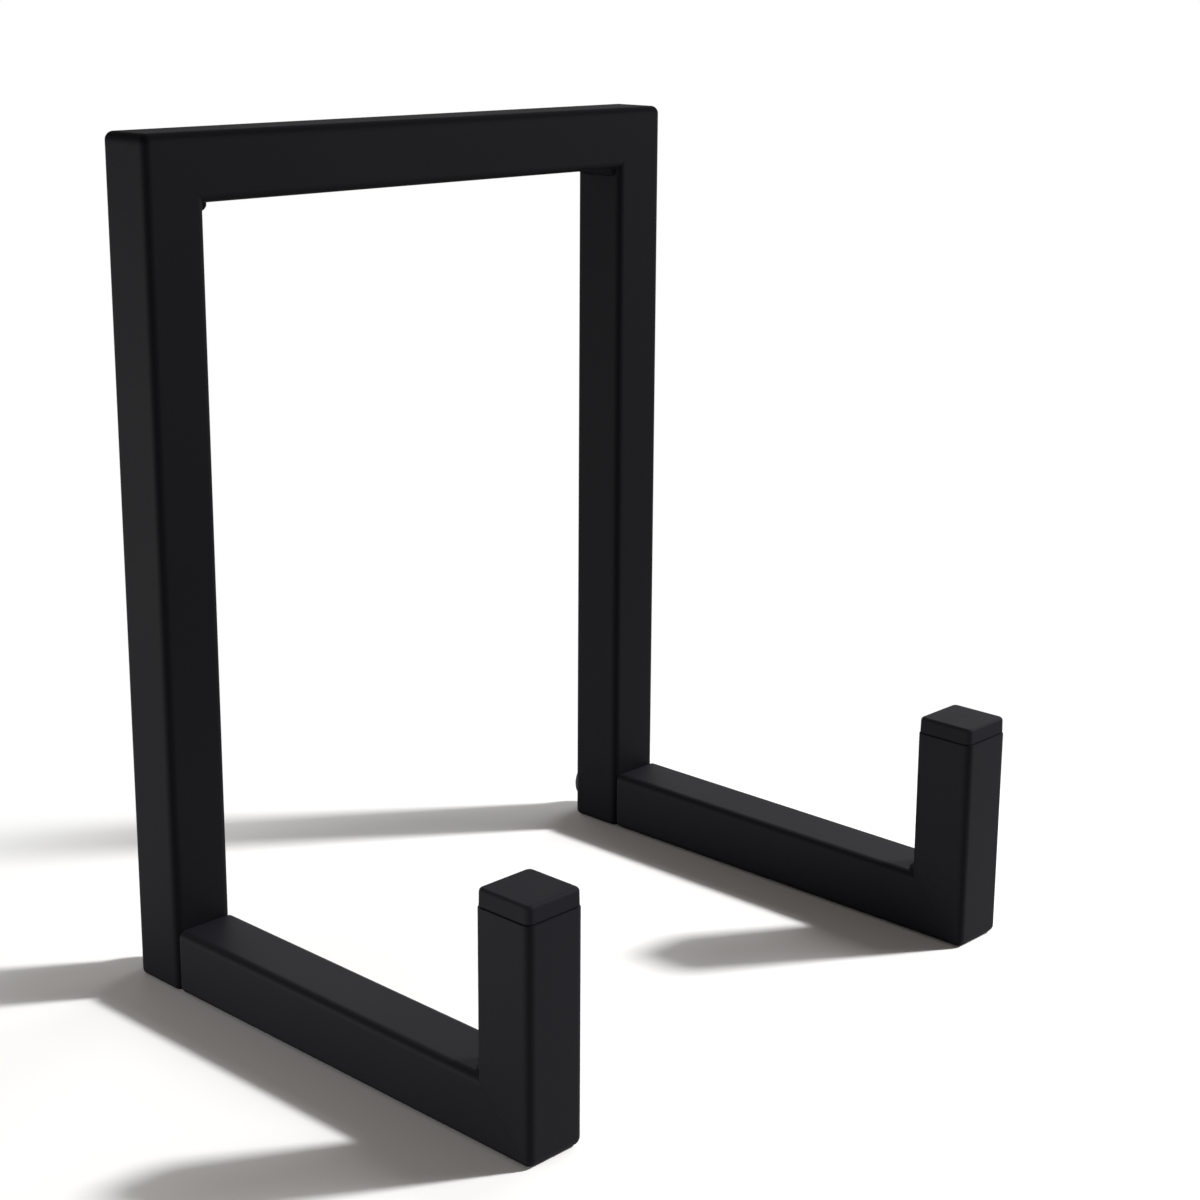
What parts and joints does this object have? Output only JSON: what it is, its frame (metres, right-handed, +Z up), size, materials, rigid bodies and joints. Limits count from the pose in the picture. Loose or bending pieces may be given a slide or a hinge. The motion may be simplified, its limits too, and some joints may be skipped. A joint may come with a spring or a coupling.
{
  "type": "record storage stand",
  "caption": "Freestanding record stand of black square steel tube: an upright rear frame with bolted L-shaped feet whose front posts keep sleeves standing on edge.",
  "frame": {"origin": "on the table, at the middle of the stand's width and of its full depth, bolt heads included", "axes": "+X to the right seen from the front, +Y to the back, +Z up"},
  "size_m": [0.225, 0.1848, 0.272],
  "materials": {
    "frame_paint": "matte black powder coat with a fine texture",
    "foot_paint": "matte black powder coat with a fine texture",
    "cap_plastic": "fine-grained moulded black plastic",
    "nut_steel": "bright zinc plated",
    "bolt_steel": "black oxide, satin"
  },
  "bodies": {
    "root": {"left_upright": "frame_paint", "right_upright": "frame_paint", "top_bar": "frame_paint", "left_upright_plate": "frame_paint", "right_upright_plate": "frame_paint", "left_frame_weld": "frame_paint", "right_frame_weld": "frame_paint", "left_base_bar": "foot_paint", "right_base_bar": "foot_paint", "left_front_post": "foot_paint", "right_front_post": "foot_paint", "left_foot_weld": "foot_paint", "right_foot_weld": "foot_paint", "left_bar_plate": "foot_paint", "right_bar_plate": "foot_paint", "left_post_cap": "cap_plastic", "right_post_cap": "cap_plastic", "left_weld_nut": "nut_steel", "right_weld_nut": "nut_steel", "left_foot_bolt": "bolt_steel", "right_foot_bolt": "bolt_steel"}
  },
  "joints": []
}
